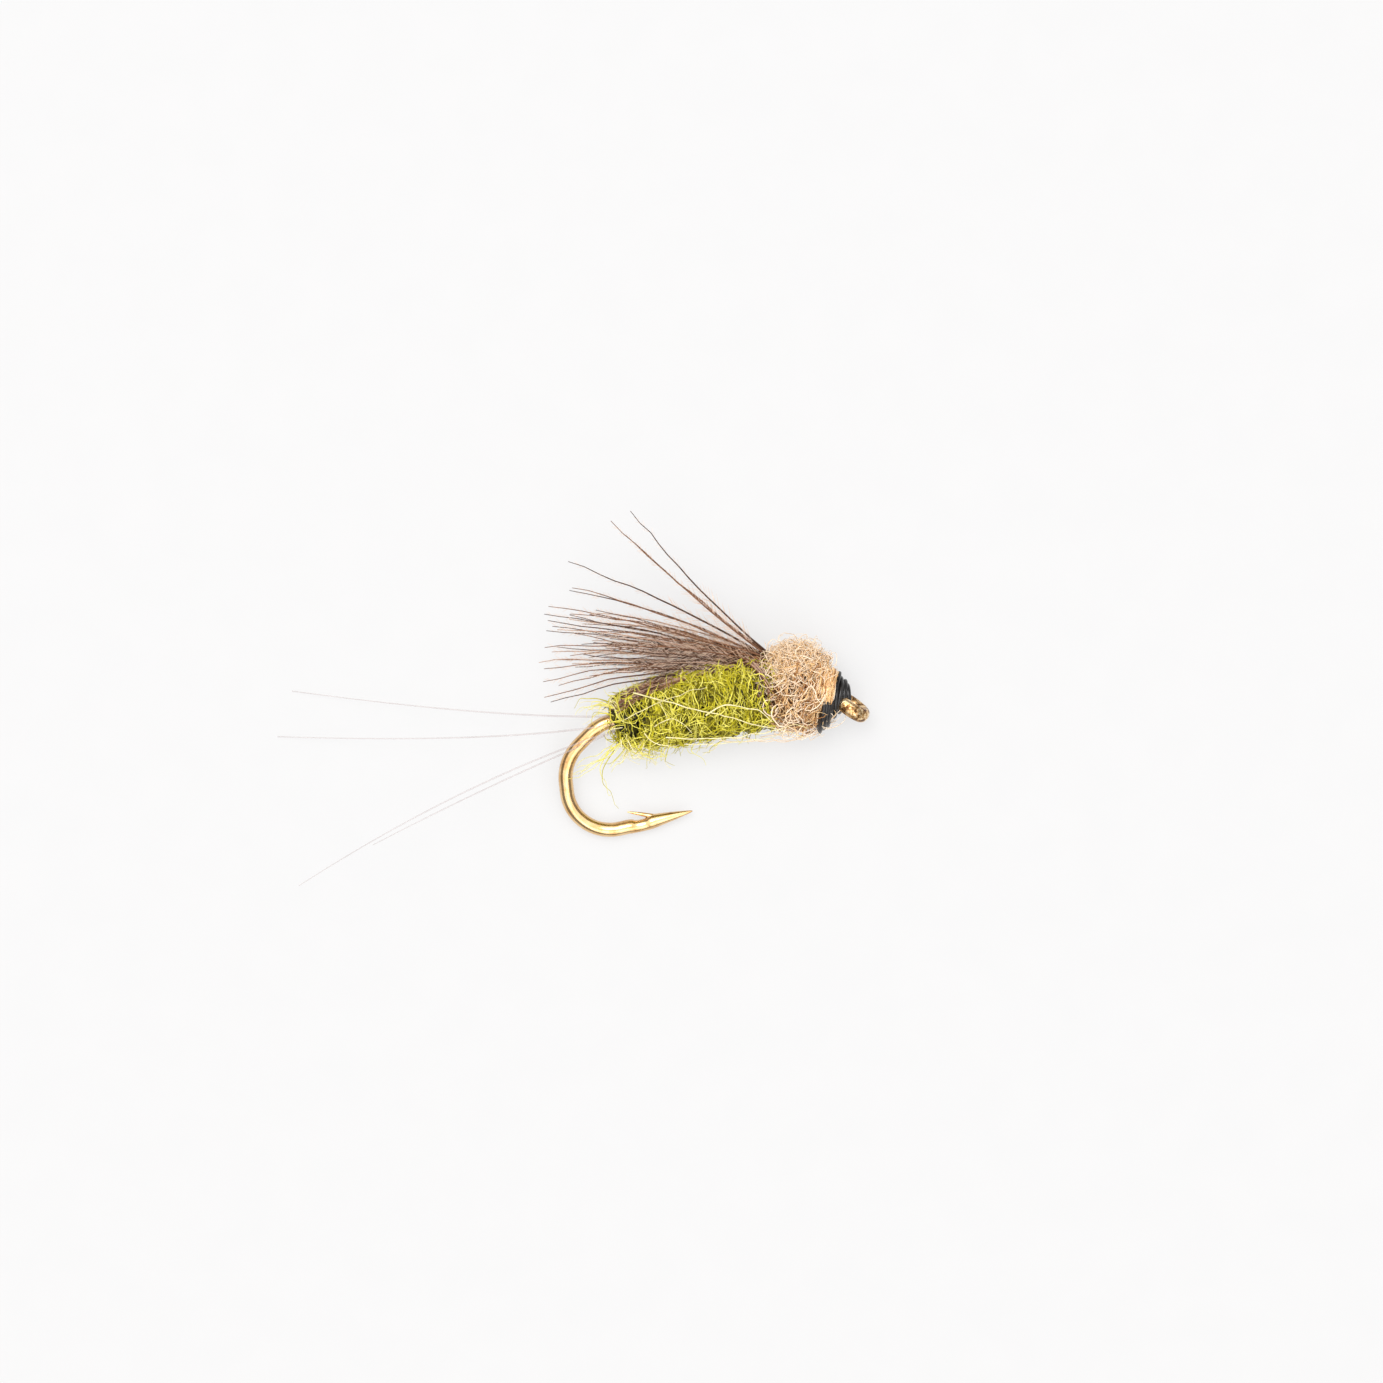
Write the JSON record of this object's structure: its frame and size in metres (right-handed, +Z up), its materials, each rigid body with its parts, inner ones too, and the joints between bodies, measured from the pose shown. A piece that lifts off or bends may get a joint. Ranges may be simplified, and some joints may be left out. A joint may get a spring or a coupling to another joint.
{
  "type": "dry fly",
  "caption": "Artificial dry fly on a gold hook: olive dubbed abdomen, tan thorax, swept brown feather wing, clear split tails and a black thread head, lying on its side.",
  "frame": {"origin": "middle of the whole fly's box, on the table that it lies on, with the foot of the bend at z = 0", "axes": "+X along the shank from the bend towards the eye, +Y towards the back and the wing, +Z up from the table, across the hook"},
  "size_m": [0.017, 0.0098, 0.0027],
  "materials": {
    "gold_wire": "bright gold finish on forged carbon steel wire",
    "tying_thread": "fine waxed black tying thread, glossy",
    "clear_nylon": "clear tapered nylon fibre",
    "olive_dubbing": "loose olive and chartreuse dubbed fur",
    "tan_dubbing": "loose sandy tan dubbed fur",
    "feather": "brown feather fibres with fine barbules"
  },
  "bodies": {
    "root": {"hook": "gold_wire", "thread_base": "tying_thread", "tail_tie_in": "tying_thread", "tail_fibre_1": "clear_nylon", "tail_fibre_2": "clear_nylon", "tail_fibre_3": "clear_nylon", "tail_fibre_4": "clear_nylon", "abdomen_dubbing": "olive_dubbing", "abdomen_thread": "tying_thread", "abdomen_guard_fibres": "olive_dubbing", "wing_tie_in": "tying_thread", "wing_butts": "feather", "wing_back_fibres": "feather", "wing_row_1": "feather", "wing_row_2": "feather", "wing_row_3": "feather", "wing_row_4": "feather", "wing_row_5": "feather", "wing_row_6": "feather", "wing_row_7": "feather", "wing_row_8": "feather", "wing_row_9": "feather", "wing_top_fibres": "feather", "thorax_dubbing": "tan_dubbing", "thorax_guard_fibres": "tan_dubbing", "head_collar": "tying_thread", "head_wraps": "tying_thread", "whip_finish": "tying_thread"}
  },
  "joints": []
}
